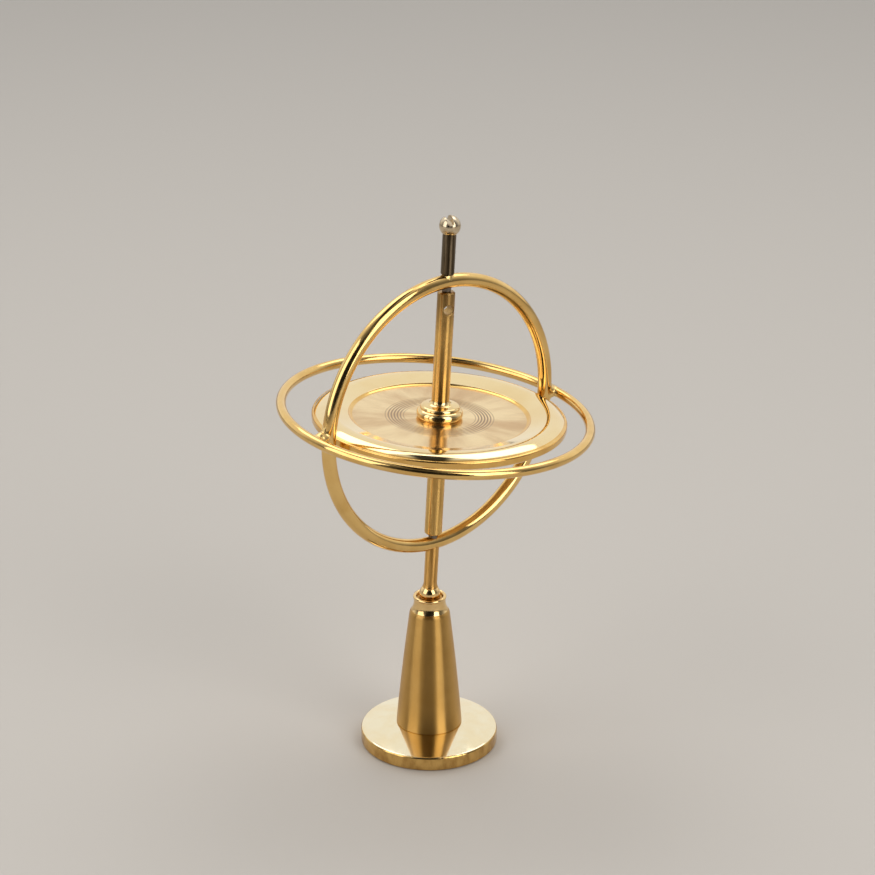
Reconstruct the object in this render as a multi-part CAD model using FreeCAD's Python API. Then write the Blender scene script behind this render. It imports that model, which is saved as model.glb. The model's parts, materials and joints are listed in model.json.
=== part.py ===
import FreeCAD, Part
import math
import os

# Tabletop gyroscope on a pedestal, in millimetres.
# The origin is the centre of the base's underside, +Z is up, and the cage's upright ring
# stands in the XZ plane. At rest the gyroscope leans a little towards +X.
# The gyroscope is drawn upright round its own axis, with its foot ball at the origin,
# and every one of its pieces is then leaned and lifted on to the stand.

# ---- driving dimensions -------------------------------------------------------------

# stand
base_radius = 13.9
base_edge_height = 3.05
base_edge_round = 0.5
dome_height = 4.25
dome_mid_radius = 10.2
dome_mid_height = 3.7
cone_foot_radius = 6.65
cone_mid_radius = 5.62
cone_mid_height = 15.5
cone_neck_radius = 4.1
cone_neck_height = 28.7
cone_top = 29.7
cone_top_radius = 3.45

# cup at the top of the stand
collar_radius = 3.22
lip_radius = 3.02
lip_wire = 0.35
lip_height = 32.4
cup_bore_radius = 2.67
cup_floor = 30.2
spigot_radius = 2.4
spigot_length = 4.0
seat_fit = 0.05
seat_sphere = 2.6
seat_rim = 32.1

# threaded stud that holds the cone to the disc
stud_radius = 1.5
stud_low = 1.2
stud_high = 14.0
stud_slack = 0.4

# gyroscope: foot and posts
ball_radius = 2.1
ball_height = 33.1
ball_gap = 0.05
post_radius = 1.35
lean_deg = 3.33
cage_rise = 38.5

# rings
ring_radius = 27.43
ring_wire = 1.4
equator_radius = 30.5
equator_wire = 1.0
equator_shift_x = -0.5
equator_shift_y = 0.55
equator_roll_deg = 2.2
equator_pitch_deg = 1.4
seam_deg = 37
braze_size = 1.75
braze_spread = 0.75
braze_drop = 1.15
braze_climb = 0.6

# top knob
knob_radius = 2.1
knob_rise = 38.65
slot_width = 1.1
slot_depth = 1.6
slot_shift = -0.5
slot_turn_deg = -20
tenon_radius = 0.8
tenon_length = 1.1

# rotor
rotor_drop = 1.0
rim_radius = 25.15
rim_half = 1.95
crest_radius = 22.9
ledge_radius = 24.72
ledge_height = 0.78
wall_half = 0.45
recess_radius = 18.0
recess_edge = 0.92
web_half = 0.5
hub_radius = 4.6
hub_side = 2.1
hub_step_radius = 3.95
hub_step = 2.88
hub_top_radius = 2.6
hub_top = 3.15
hub_fillet_top = 4.0
spindle_radius = 1.75
spindle_half = 25.4
spindle_chamfer = 0.25
string_hole_radius = 1.0
string_hole_rise = 22.0
string_hole_deg = -103.4

# pivots
pivot_radius = 0.9
pivot_gap = 0.05
pivot_depth = 0.9
pivot_point = 0.12
pivot_stand_off = 0.15
pivot_length = 6.0
bush_radius = 1.2
bush_length = 2.2
bush_recess = 0.1

Z = FreeCAD.Vector(0, 0, 1)
ORIGIN = FreeCAD.Vector(0, 0, 0)


# ---- helpers ------------------------------------------------------------------------

def at(radius, height):
    """A point of a turned outline, in the XZ plane."""
    return FreeCAD.Vector(radius, 0, height)


def turned(start, *steps):
    """A solid turned round Z. A step is (radius, height), or two such pairs for an arc."""
    edges = []
    here = start
    for step in steps + (start,):
        if isinstance(step[0], tuple):
            middle, end = step
            edges.append(Part.Arc(at(*here), at(*middle), at(*end)).toShape())
        else:
            end = step
            edges.append(Part.LineSegment(at(*here), at(*end)).toShape())
        here = end
    return Part.Face(Part.Wire(edges)).revolve(ORIGIN, Z, 360)


def on_arc(centre, radius, degrees):
    """The point of a circle in the XZ plane, as a (radius, height) pair."""
    angle = math.radians(degrees)
    return (centre[0] + radius * math.cos(angle), centre[1] + radius * math.sin(angle))


def rod(radius, low, high):
    return Part.makeCylinder(radius, high - low, FreeCAD.Vector(0, 0, low), Z)


def flipped(shape):
    """The same shape upside down, turned half round X."""
    return shape.rotated(ORIGIN, FreeCAD.Vector(1, 0, 0), 180)


def raised(shape, height):
    return shape.translated(FreeCAD.Vector(0, 0, height))


def on_stand(shape):
    """Leans a piece of the gyroscope and sets its foot ball in the cup."""
    leaned = shape.rotated(ORIGIN, FreeCAD.Vector(0, 1, 0), lean_deg)
    return raised(leaned, ball_height)


def save(node, shape):
    shape.exportStep("parts/" + node + ".step")


# ---- stand --------------------------------------------------------------------------

def make_base_disc():
    edge = base_edge_round
    foot_edge = 0.3
    corner = (base_radius - edge, base_edge_height - edge)
    disc = turned(
        (0, 0),
        (base_radius - foot_edge, 0),
        (base_radius, foot_edge),
        (base_radius, corner[1]),
        (on_arc(corner, edge, 40), on_arc(corner, edge, 75)),
        ((dome_mid_radius, dome_mid_height), (cone_foot_radius, dome_height)),
        (0, dome_height),
    )
    return disc.cut(rod(stud_radius, stud_low - stud_slack, dome_height + 1))


def make_pedestal_cone():
    foot_edge = 0.15
    shoulder = (cone_neck_radius - 0.12, cone_top - 0.45)
    cone = turned(
        (0, dome_height),
        (cone_foot_radius - foot_edge, dome_height),
        (cone_foot_radius, dome_height + foot_edge),
        ((cone_mid_radius, cone_mid_height), (cone_neck_radius, cone_neck_height)),
        (shoulder, (cone_top_radius, cone_top)),
        (0, cone_top),
    )
    stud_bore = rod(stud_radius, 0, stud_high + stud_slack)
    spigot_bore = rod(spigot_radius, cone_top - spigot_length, cone_top + 1)
    return cone.cut(stud_bore).cut(spigot_bore)


def make_base_stud():
    return rod(stud_radius, stud_low, stud_high)


def make_cup_collar():
    foot = (collar_radius, cone_top)
    lip = (lip_radius, lip_height)
    return turned(
        (0, cone_top - spigot_length),
        (spigot_radius, cone_top - spigot_length),
        (spigot_radius, cone_top),
        foot,
        (collar_radius, lip_height - 0.3),
        on_arc(lip, lip_wire, -35),
        (on_arc(lip, lip_wire, 75), on_arc(lip, lip_wire, 180)),
        (cup_bore_radius, cup_floor),
        (0, cup_floor),
    )


def make_cup_seat():
    low = cup_floor + seat_fit
    dish_bottom = ball_height - ball_radius - ball_gap
    dish_centre = (0, dish_bottom + seat_sphere)
    rim = math.sqrt(seat_sphere ** 2 - (dish_centre[1] - seat_rim) ** 2)
    half_way = -90 + 0.5 * math.degrees(math.asin(rim / seat_sphere))
    return turned(
        (0, low),
        (cup_bore_radius - seat_fit, low),
        (cup_bore_radius - seat_fit, seat_rim),
        (rim, seat_rim),
        (on_arc(dish_centre, seat_sphere, half_way), (0, dish_bottom)),
    )


# ---- cage, drawn upright with the foot ball at the origin ------------------------------

def hoop(radius, wire):
    """A closed ring of round wire about Z, with its seam inside and away from every joint."""
    section = Part.makeCircle(wire, FreeCAD.Vector(-radius, 0, 0), FreeCAD.Vector(0, 1, 0))
    ring = Part.Face(Part.Wire(section)).revolve(ORIGIN, Z, 360)
    return ring.rotated(ORIGIN, Z, seam_deg)


def meridian_wire():
    return hoop(ring_radius, ring_wire).rotated(ORIGIN, FreeCAD.Vector(1, 0, 0), 90)


def make_meridian_ring():
    ring = meridian_wire()
    pivot_hole = rod(pivot_radius, ring_radius - 2 * ring_wire, ring_radius + 2 * ring_wire)
    ring = ring.cut(pivot_hole).cut(flipped(pivot_hole))
    return raised(ring, cage_rise)


def make_equator_ring():
    ring = hoop(equator_radius, equator_wire)
    ring.rotate(ORIGIN, FreeCAD.Vector(1, 0, 0), equator_roll_deg)
    ring.rotate(ORIGIN, FreeCAD.Vector(0, 1, 0), equator_pitch_deg)
    ring.translate(FreeCAD.Vector(equator_shift_x, equator_shift_y, cage_rise))
    return ring


def braze_joint(side):
    """A lens of braze round the place where the two wires cross."""
    wire_x = side * equator_radius + equator_shift_x
    middle_x = (side * ring_radius + wire_x) / 2
    drop = -wire_x * math.sin(math.radians(equator_pitch_deg))
    half = abs(wire_x - middle_x)
    lens = turned((0, -half), ((braze_size, 0), (0, half)))
    lens = lens.rotated(ORIGIN, FreeCAD.Vector(0, 1, 0), 90)
    lens = lens.translated(FreeCAD.Vector(middle_x, 0, cage_rise + drop))
    return biggest(lens.cut(make_meridian_ring()).cut(make_equator_ring()))


def make_ring_braze_joints():
    return Part.makeCompound([braze_joint(-1), braze_joint(1)])


def biggest(shape):
    return max(shape.Solids, key=lambda solid: solid.Volume)


def post_fillet():
    """A collar of braze round the post's root, which hugs the ring's wire."""
    root = ring_radius + ring_wire
    low = root - braze_drop
    skirt = turned(
        (post_radius, low),
        (post_radius + braze_spread, low),
        ((post_radius + 0.22, root - 0.1), (post_radius, root + braze_climb)),
    )
    half_width = ring_wire + 0.12
    over_wire = Part.makeBox(8, 2 * half_width, 8, FreeCAD.Vector(-4, -half_width, low))
    return biggest(skirt.common(over_wire).cut(meridian_wire()))


def make_post_braze_fillets():
    upper = post_fillet()
    both = Part.makeCompound([upper, flipped(upper)])
    return raised(both, cage_rise)


def post_above_ring(top):
    """A post from the ring's wire outwards, coped to the wire and bored for the pivot."""
    post = biggest(rod(post_radius, ring_radius, top).cut(meridian_wire()))
    return post.cut(rod(pivot_radius, ring_radius, spindle_half + pivot_length + 0.1))


def knob_socket():
    """How high over the cage's centre the knob's underside sits on the post."""
    return knob_rise - math.sqrt(knob_radius ** 2 - post_radius ** 2)


def make_upper_post():
    socket = knob_socket()
    tenon = rod(tenon_radius, socket, socket + tenon_length)
    return raised(post_above_ring(socket).fuse(tenon).removeSplitter(), cage_rise)


def knob_slot():
    """What is cut out of the knob: a round-bottomed slot a little beside its middle."""
    round_height = knob_rise + knob_radius - slot_depth + slot_width / 2
    length = 2 * knob_radius + 2
    corner = FreeCAD.Vector(slot_shift - slot_width / 2, -length / 2, round_height)
    slot = Part.makeBox(slot_width, length, slot_depth, corner)
    end = FreeCAD.Vector(slot_shift, -length / 2, round_height)
    slot_floor = Part.makeCylinder(slot_width / 2, length, end, FreeCAD.Vector(0, 1, 0))
    return slot.fuse(slot_floor).rotated(ORIGIN, Z, slot_turn_deg)


def make_top_knob():
    socket = knob_socket()
    knob = Part.makeSphere(knob_radius, FreeCAD.Vector(0, 0, knob_rise))
    knob = knob.cut(rod(knob_radius, socket - knob_radius, socket))
    knob = knob.cut(rod(tenon_radius, socket - 1, socket + tenon_length))
    return raised(knob.cut(knob_slot()), cage_rise)


def make_lower_post():
    """The lower post, with a hollow end that fits round the foot ball."""
    low = ball_radius - 0.9
    post = raised(flipped(post_above_ring(cage_rise - low)), cage_rise)
    flare = turned(
        (0, low),
        (post_radius + 0.22, low),
        ((post_radius + 0.06, low + 0.75), (post_radius, low + 1.3)),
        (0, low + 1.3),
    )
    post = post.fuse(flare).removeSplitter()
    return biggest(post.cut(Part.makeSphere(ball_radius + ball_gap)))


def make_ball_foot():
    return Part.makeSphere(ball_radius)


def upper_pivot():
    """Pivot screw with a conical point that runs in the spindle's bush."""
    shoulder = spindle_half + pivot_stand_off
    tip = shoulder - pivot_depth
    return turned(
        (0, tip),
        (pivot_point, tip),
        (pivot_radius, shoulder),
        (pivot_radius, spindle_half + pivot_length),
        (0, spindle_half + pivot_length),
    )


def make_upper_pivot_screw():
    return raised(upper_pivot(), cage_rise)


def make_lower_pivot_screw():
    return raised(flipped(upper_pivot()), cage_rise)


# ---- rotor, drawn upright round its own middle ----------------------------------------

def make_flywheel():
    eighth_turn = math.sin(math.radians(45))
    shoulder_middle = (
        crest_radius + (ledge_radius - crest_radius) * eighth_turn,
        ledge_height + (rim_half - ledge_height) * eighth_turn,
    )
    ledge_middle = (rim_radius - 0.12, ledge_height - 0.1)
    upper_half = turned(
        (0, 0),
        (0, web_half),
        (recess_radius - 0.1, web_half),
        (recess_radius, recess_edge),
        (crest_radius, rim_half),
        (shoulder_middle, (ledge_radius, ledge_height)),
        (ledge_middle, (rim_radius, wall_half)),
        (rim_radius, 0),
    )
    wheel = upper_half.fuse(flipped(upper_half)).removeSplitter()
    wheel = wheel.cut(rod(spindle_radius, -rim_half, rim_half))
    return raised(wheel, cage_rise - rotor_drop)


def hub_collar():
    """The stepped hub above the web, which flares into the spindle."""
    shoulder_middle = (hub_radius - 0.17, hub_side + 0.5)
    fillet_middle = (spindle_radius + 0.28, hub_top + 0.3)
    return turned(
        (spindle_radius, web_half),
        (hub_radius, web_half),
        (hub_radius, hub_side),
        (shoulder_middle, (hub_step_radius, hub_step)),
        (hub_step_radius - 0.35, hub_step + 0.12),
        (hub_top_radius, hub_top),
        (fillet_middle, (spindle_radius, hub_fillet_top)),
    )


def make_upper_hub_collar():
    return raised(hub_collar(), cage_rise - rotor_drop)


def make_lower_hub_collar():
    return raised(flipped(hub_collar()), cage_rise - rotor_drop)


def make_spindle():
    half = spindle_half
    edge = spindle_chamfer
    shaft = turned(
        (0, -half),
        (spindle_radius - edge, -half),
        (spindle_radius, -half + edge),
        (spindle_radius, half - edge),
        (spindle_radius - edge, half),
        (0, half),
    )
    seat = rod(bush_radius, half - bush_length, half + 1)
    shaft = shaft.cut(seat).cut(flipped(seat))
    angle = math.radians(string_hole_deg)
    through = FreeCAD.Vector(math.cos(angle), math.sin(angle), 0)
    start = FreeCAD.Vector(0, 0, string_hole_rise) - through * 4
    shaft = shaft.cut(Part.makeCylinder(string_hole_radius, 8, start, through))
    return raised(shaft, cage_rise)


def bearing_bush():
    """A bush in the spindle's upper end, with a conical seat for the pivot."""
    face = spindle_half - bush_recess
    back = spindle_half - bush_length
    slope = (pivot_radius - pivot_point) / pivot_depth
    point = spindle_half + pivot_stand_off - pivot_depth - pivot_point / slope
    seat_apex = point - 2 * pivot_gap
    mouth = (face - seat_apex) * slope
    return turned(
        (0, back),
        (bush_radius, back),
        (bush_radius, face),
        (mouth, face),
        (0, seat_apex),
    )


def make_upper_bearing_bush():
    return raised(bearing_bush(), cage_rise)


def make_lower_bearing_bush():
    return raised(flipped(bearing_bush()), cage_rise)


# ---- the whole model ------------------------------------------------------------------

def main():
    os.makedirs("parts", exist_ok=True)

    save("base_disc", make_base_disc())
    save("pedestal_cone", make_pedestal_cone())
    save("base_stud", make_base_stud())
    save("cup_collar", make_cup_collar())
    save("cup_seat", make_cup_seat())

    save("ball_foot", on_stand(make_ball_foot()))
    save("lower_post", on_stand(make_lower_post()))
    save("meridian_ring", on_stand(make_meridian_ring()))
    save("equator_ring", on_stand(make_equator_ring()))
    save("ring_braze_joints", on_stand(make_ring_braze_joints()))
    save("post_braze_fillets", on_stand(make_post_braze_fillets()))
    save("upper_post", on_stand(make_upper_post()))
    save("top_knob", on_stand(make_top_knob()))
    save("upper_pivot_screw", on_stand(make_upper_pivot_screw()))
    save("lower_pivot_screw", on_stand(make_lower_pivot_screw()))

    save("flywheel", on_stand(make_flywheel()))
    save("spindle", on_stand(make_spindle()))
    save("upper_hub_collar", on_stand(make_upper_hub_collar()))
    save("lower_hub_collar", on_stand(make_lower_hub_collar()))
    save("upper_bearing_bush", on_stand(make_upper_bearing_bush()))
    save("lower_bearing_bush", on_stand(make_lower_bearing_bush()))


main()
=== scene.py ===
import json
import math

import bmesh
import bpy
import numpy as np
from mathutils import Matrix, Vector


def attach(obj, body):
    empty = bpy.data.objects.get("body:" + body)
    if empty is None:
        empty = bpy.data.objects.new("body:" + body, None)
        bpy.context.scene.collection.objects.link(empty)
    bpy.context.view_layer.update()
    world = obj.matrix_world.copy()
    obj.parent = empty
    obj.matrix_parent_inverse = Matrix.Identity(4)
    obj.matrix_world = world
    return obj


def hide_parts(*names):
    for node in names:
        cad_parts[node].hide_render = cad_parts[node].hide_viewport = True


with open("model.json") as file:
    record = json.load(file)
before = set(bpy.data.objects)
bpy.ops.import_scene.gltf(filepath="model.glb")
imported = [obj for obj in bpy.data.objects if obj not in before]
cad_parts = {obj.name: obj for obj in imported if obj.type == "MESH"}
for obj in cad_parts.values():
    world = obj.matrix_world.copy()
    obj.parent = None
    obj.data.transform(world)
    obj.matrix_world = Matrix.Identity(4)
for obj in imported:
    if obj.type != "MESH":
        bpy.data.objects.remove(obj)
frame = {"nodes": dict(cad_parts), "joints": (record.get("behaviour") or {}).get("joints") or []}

# A tabletop gyroscope on its pedestal. Pieces are drawn upright in millimetres: those of the
# stand where they stand, the foot ball and the lower stem from the ball's centre, the rest of
# the cage and the spindle from the hoops' centre, and the wheel and its hubs from the wheel's
# middle. Each is then set in place in metres. Turned pieces are outlines spun round Z.

MM = 0.001

# ---- sizes, in millimetres ------------------------------------------------------------
# A pair is a radius and a height on an outline.

# The disc
BASE_RADIUS = 13.9
BASE_EDGE_HEIGHT = 3.05
BASE_EDGE_ROUND = 0.5
BASE_FOOT_CHAMFER = 0.3
BASE_WALL_FROM = 13.55
BASE_WALL_TOP = 2.93
BASE_UNDERSIDE = 0.1
DOME_MIDDLE = (10.2, 3.7)
DOME_TOP = 4.25

# The cone
CONE_FOOT_RADIUS = 6.65
CONE_FOOT_CHAMFER = 0.15
CONE_MIDDLE = (5.62, 15.5)
CONE_NECK = (4.1, 28.7)
CONE_SHOULDER = (3.99, 29.18)
CONE_TOP = (3.74, 29.6)

# The cup, with the dish that turns in it
COLLAR_RADIUS = 3.22
COLLAR_FLARE = (3.41, 30.32)
COLLAR_WAIST = 31.4
LIP_CENTRE = (3.02, 32.4)
LIP_WIRE = 0.35
CUP_BORE = 2.67
CUP_FLOOR = 30.2
SPIGOT_RADIUS = 2.4
SPIGOT_LOW = 25.7
SEAT_FIT = 0.05
SEAT_SPHERE = 2.6
SEAT_RIM = 32.1

# The foot ball, and the stem that stands on it, from the ball's centre
BALL_RADIUS = 2.1
BALL_GAP = 0.05
STEM_RADIUS = 1.35
STEM_FOOT_RADIUS = 1.57
STEM_FLARE = (1.41, 1.95)
STEM_FLARE_TOP = 2.5
LOWER_STEM_END = 0.56

# The hoops, from their centre: each a circle, and the radius of its wire
HOOP_RADIUS = 27.43
HOOP_WIRE = 1.4
LEVEL_RADIUS = 30.5
LEVEL_WIRE = 0.997
LEVEL_SHIFT = (-0.5, 0.55)
LEVEL_ROLL = math.radians(2.2)
LEVEL_PITCH = math.radians(1.4)
HOOP_STEPS = 320

# The braze. A skin is how far it starts below the wire's own.
BRAZE_SKIN = 0.03
CROSSING_FILLET = 0.9
CROSSING_DROP = 1.35
CROSSING_DROP_FILLET = 0.7
CROSSING_REACH = 2.9
STEM_BRAZE_RADIUS = 1.0
STEM_BRAZE_TOP = 29.05
STEM_BRAZE_FILLET = 0.5
STEM_BRAZE_REACH = 1.9

# The upper stem, from the hoops' centre
UPPER_STEM_END = 0.98
STEM_NECK_RADIUS = 0.9
STEM_NECK_TOP = 28.83
STEM_CUP = (1.25, 28.95)
STEM_CUP_TOP = 29.15

# The knob, with its slot
KNOB_RADIUS = 2.1
KNOB_RISE = 38.65
SLOT_WIDTH = 1.1
SLOT_DEPTH = 1.6
SLOT_SHIFT = -0.5
SLOT_TURN = math.radians(-20)
SLOT_CUTTER_HALF = 3.0
KNOB_GRID = 0.045
KNOB_WEAR = 4

# The wheel, from its middle
ROTOR_DROP = 1.0
RIM_RADIUS = 25.15
ROLL_FROM = (21.0, 1.66)
ROLL_MIDDLE = (22.97, 1.66)
LEDGE = (24.72, 0.76)
LEDGE_CORNER = (25.03, 0.66)
WALL_HALF = 0.45
WALL_FROM = 24.42
RECESS_FOOT = 17.1
RECESS_BEND = (17.64, 0.62)
RECESS_EDGE = (18.0, 0.92)
SLOPE_FROM, SLOPE_TO = 17.15, 17.97
WEB_HALF = 0.5
GROOVES_FROM = 6.2
GROOVES_TO = 11.6
GROOVE_PITCH = 0.6
GROOVE_DEPTH = 0.055

# The hubs, from the wheel's middle
HUB_FOOT_RADIUS = 4.3
HUB_BULGE = (4.6, 1.35)
HUB_STEP = (3.9, 2.3)
HUB_CROWN_MIDDLE = (3.85, 2.75)
HUB_CROWN = (3.4, 3.03)
HUB_TOP = (2.6, 3.15)
HUB_FILLET_MIDDLE = (2.03, 3.45)
HUB_FILLET_TOP = 4.0

# The spindle, and the string hole across it
SPINDLE_RADIUS = 1.75
SPINDLE_HALF = 25.4
SPINDLE_CHAMFER = 0.25
SPINDLE_SIDES = 144
STRING_HOLE_RADIUS = 1.0
STRING_HOLE_BEVEL = 0.15
STRING_HOLE_RISE = 22.0
STRING_HOLE_TURN = math.radians(-103.4)
DRILLED_HALF = 1.9
PATCH_STEPS = 10

# The pivots
PIVOT_RADIUS = 0.9
PIVOT_STAND_OFF = 0.15
PIVOT_DEPTH = 0.9
PIVOT_POINT = 0.12
PIVOT_LENGTH = 6.0

# ---- where the gyroscope stands, from the frame's joints --------------------------------

joints = {joint["name"]: joint for joint in frame["joints"]}
ball_centre = Vector(joints["tilt"]["pos_m"])
cage_centre = Vector(joints["rotor_spin"]["pos_m"])
gyro_axis = Vector(joints["rotor_spin"]["axis"]).normalized()
lean = math.atan2(gyro_axis.x, gyro_axis.z)
CAGE_RISE = (cage_centre - ball_centre).length / MM
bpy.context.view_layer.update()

ON_STAND = Matrix.Scale(MM, 4)
ON_BALL = Matrix.Translation(ball_centre) @ Matrix.Rotation(lean, 4, "Y") @ ON_STAND
IN_CAGE = ON_BALL @ Matrix.Translation((0, 0, CAGE_RISE))
IN_ROTOR = IN_CAGE @ Matrix.Translation((0, 0, -ROTOR_DROP))
BOTH_ENDS = {"upper": Matrix.Identity(4), "lower": Matrix.Rotation(math.pi, 4, "X")}


# ---- outlines ----------------------------------------------------------------------------

def arc_points(start, middle, end, count):
    """Points of the arc from start through middle to end, without its start."""
    (ax, ay), (bx, by), (cx, cy) = start, middle, end
    twice_area = 2 * (ax * (by - cy) + bx * (cy - ay) + cx * (ay - by))
    a2, b2, c2 = ax * ax + ay * ay, bx * bx + by * by, cx * cx + cy * cy
    ux = (a2 * (by - cy) + b2 * (cy - ay) + c2 * (ay - by)) / twice_area
    uy = (a2 * (cx - bx) + b2 * (ax - cx) + c2 * (bx - ax)) / twice_area
    radius = math.hypot(ax - ux, ay - uy)
    from_angle = math.atan2(ay - uy, ax - ux)
    turn = math.atan2(cy - uy, cx - ux) - from_angle
    way = 1 if (bx - ax) * (cy - ay) - (by - ay) * (cx - ax) > 0 else -1
    turn = way * ((way * turn) % (2 * math.pi))
    angles = [from_angle + turn * i / count for i in range(1, count + 1)]
    return [(ux + radius * math.cos(a), uy + radius * math.sin(a)) for a in angles]


def on_circle(centre, radius, degrees):
    angle = math.radians(degrees)
    return (centre[0] + radius * math.cos(angle), centre[1] + radius * math.sin(angle))


def outline(start, *steps, fineness=14):
    """The points of a turned outline. A step is (radius, height), or two such pairs for an arc."""
    points = [start]
    for step in steps:
        if isinstance(step[0], tuple):
            points += arc_points(points[-1], step[0], step[1], fineness)
        else:
            points.append(step)
    return points


def softened(points, radius=0.12, sharp=math.radians(22)):
    """The outline with a small round in each sharp corner."""
    result = [points[0]]
    for before, here, after in zip(points, points[1:], points[2:]):
        back, on = Vector(before) - Vector(here), Vector(after) - Vector(here)
        turn = math.pi - back.angle(on)
        if turn < sharp:
            result.append(here)
            continue
        reach = min(radius * math.tan(turn / 2), 0.45 * back.length, 0.45 * on.length)
        first = Vector(here) + back.normalized() * reach
        last = Vector(here) + on.normalized() * reach
        for t in (0, 0.25, 0.5, 0.75, 1):
            point = first * (1 - t) ** 2 + Vector(here) * (2 * t * (1 - t)) + last * t ** 2
            result.append(tuple(point))
    return result + [points[-1]]


# ---- meshes --------------------------------------------------------------------------------

def outline_normals(points, closed):
    """A normal at each point, along the longer of its two edges' normals where they differ."""
    spots = np.array(points, float)
    edges = np.roll(spots, -1, axis=0) - spots
    if not closed:
        edges[-1] = edges[-2]
    before = np.roll(edges, 1, axis=0)
    if not closed:
        before[0] = edges[0]
    weighted = edges * np.linalg.norm(edges, axis=1)[:, None]
    weighted += before * np.linalg.norm(before, axis=1)[:, None]
    normals = np.stack([weighted[:, 1], -weighted[:, 0]], axis=1)
    return normals / np.linalg.norm(normals, axis=1)[:, None]


def turned(name, points, place, sides=192, closed=False):
    """A mesh of an outline spun round Z, with a UV map: round the piece, and along the outline."""
    normals = outline_normals(points, closed)
    along = np.concatenate([[0], np.cumsum(np.linalg.norm(np.diff(points, axis=0), axis=1))])
    corners, corner_normals, rows = [], [], []
    for (radius, height), (out, up) in zip(points, normals):
        count = 1 if radius < 1e-6 else sides
        rows.append((len(corners), count))
        for k in range(count):
            angle = 2 * math.pi * k / sides
            corners.append((radius * math.cos(angle), radius * math.sin(angle), height))
            if count == 1:
                corner_normals.append((0, 0, math.copysign(1, up)))
            else:
                corner_normals.append((out * math.cos(angle), out * math.sin(angle), up))
    faces, uvs = [], []
    pairs = list(zip(range(len(points)), range(1, len(points))))
    if closed:
        pairs.append((len(points) - 1, 0))
    for low, high in pairs:
        v_low, v_high = along[low], along[high] if high else along[low] + 1
        for k in range(sides):
            ring = [(low, k, v_low), (low, k + 1, v_low), (high, k + 1, v_high), (high, k, v_high)]
            if rows[low][1] == 1:
                ring.pop(1)
            if rows[high][1] == 1:
                ring.pop(2 if rows[low][1] == 1 else 3)
            faces.append([rows[i][0] + (j % rows[i][1]) for i, j, _ in ring])
            uvs += [(j / sides, v) for _, j, v in ring]
    mesh = bpy.data.meshes.new(name)
    mesh.from_pydata(corners, [], faces)
    mesh.uv_layers.new(name="Round").uv.foreach_set("vector", np.array(uvs, np.float32).ravel())
    mesh.transform(place)
    turn = np.array(place.to_3x3().normalized())
    mesh.shade_smooth()
    mesh.normals_split_custom_set_from_vertices((np.array(corner_normals) @ turn.T).tolist())
    return mesh


def linked(name, data):
    """A new object in the scene."""
    thing = bpy.data.objects.new(name, data)
    bpy.context.scene.collection.objects.link(thing)
    return thing


def mesh_of(work, name):
    """A mesh from a bmesh, which is then freed."""
    mesh = bpy.data.meshes.new(name)
    work.to_mesh(mesh)
    work.free()
    return mesh


def plain_mesh(thing):
    """The mesh that an object's modifiers make. The object itself is removed."""
    result = bpy.data.meshes.new_from_object(thing.evaluated_get(bpy.context.evaluated_depsgraph_get()))
    bpy.data.objects.remove(thing)
    return result


def piece(name, mesh, body, slot, materials, *nodes):
    """A finished object from its mesh: what it is made of, what it moves with, what it stands for."""
    thing = linked(name, mesh)
    for material in materials:
        thing.data.materials.append(material)
    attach(thing, body)
    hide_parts(*nodes)
    return thing


def joined(meshes):
    """One mesh from several."""
    work = bmesh.new()
    for mesh in meshes:
        work.from_mesh(mesh)
    return mesh_of(work, meshes[0].name)


def remeshed(mesh, voxel, rounds):
    """The mesh on an even grid, with its edges worn round. Its unit is a millimetre."""
    thing = linked("remeshing", mesh)
    grid = thing.modifiers.new("grid", "REMESH")
    grid.mode = "VOXEL"
    grid.voxel_size = voxel
    wear = thing.modifiers.new("wear", "SMOOTH")
    wear.iterations = rounds
    result = plain_mesh(thing)
    result.shade_smooth()
    return result


# ---- wire hoops, made by Geometry Nodes ------------------------------------------------------

def hoop_tree():
    """A tree that sweeps round wire round a circle."""
    tree = bpy.data.node_groups.new("wire_hoop", "GeometryNodeTree")
    sockets = tree.interface
    for label, kind in (("Radius", "Float"), ("Wire", "Float"), ("Steps", "Int"), ("Sides", "Int")):
        sockets.new_socket(label, in_out="INPUT", socket_type="NodeSocket" + kind)
    sockets.new_socket("Metal", in_out="INPUT", socket_type="NodeSocketMaterial")
    sockets.new_socket("Geometry", in_out="OUTPUT", socket_type="NodeSocketGeometry")
    nodes, link = tree.nodes, tree.links.new
    given = nodes.new("NodeGroupInput")
    path = nodes.new("GeometryNodeCurvePrimitiveCircle")
    section = nodes.new("GeometryNodeCurvePrimitiveCircle")
    sweep = nodes.new("GeometryNodeCurveToMesh")
    smooth = nodes.new("GeometryNodeSetShadeSmooth")
    real = nodes.new("GeometryNodeRealizeInstances")
    metal = nodes.new("GeometryNodeSetMaterial")
    out = nodes.new("NodeGroupOutput")
    link(given.outputs["Radius"], path.inputs["Radius"])
    link(given.outputs["Steps"], path.inputs["Resolution"])
    link(given.outputs["Wire"], section.inputs["Radius"])
    link(given.outputs["Sides"], section.inputs["Resolution"])
    link(path.outputs["Curve"], sweep.inputs["Curve"])
    link(section.outputs["Curve"], sweep.inputs["Profile Curve"])
    link(sweep.outputs["Mesh"], smooth.inputs["Geometry"])
    link(smooth.outputs["Geometry"], real.inputs["Geometry"])
    link(real.outputs["Geometry"], metal.inputs["Geometry"])
    link(given.outputs["Metal"], metal.inputs["Material"])
    link(metal.outputs["Geometry"], out.inputs["Geometry"])
    return tree


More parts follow.
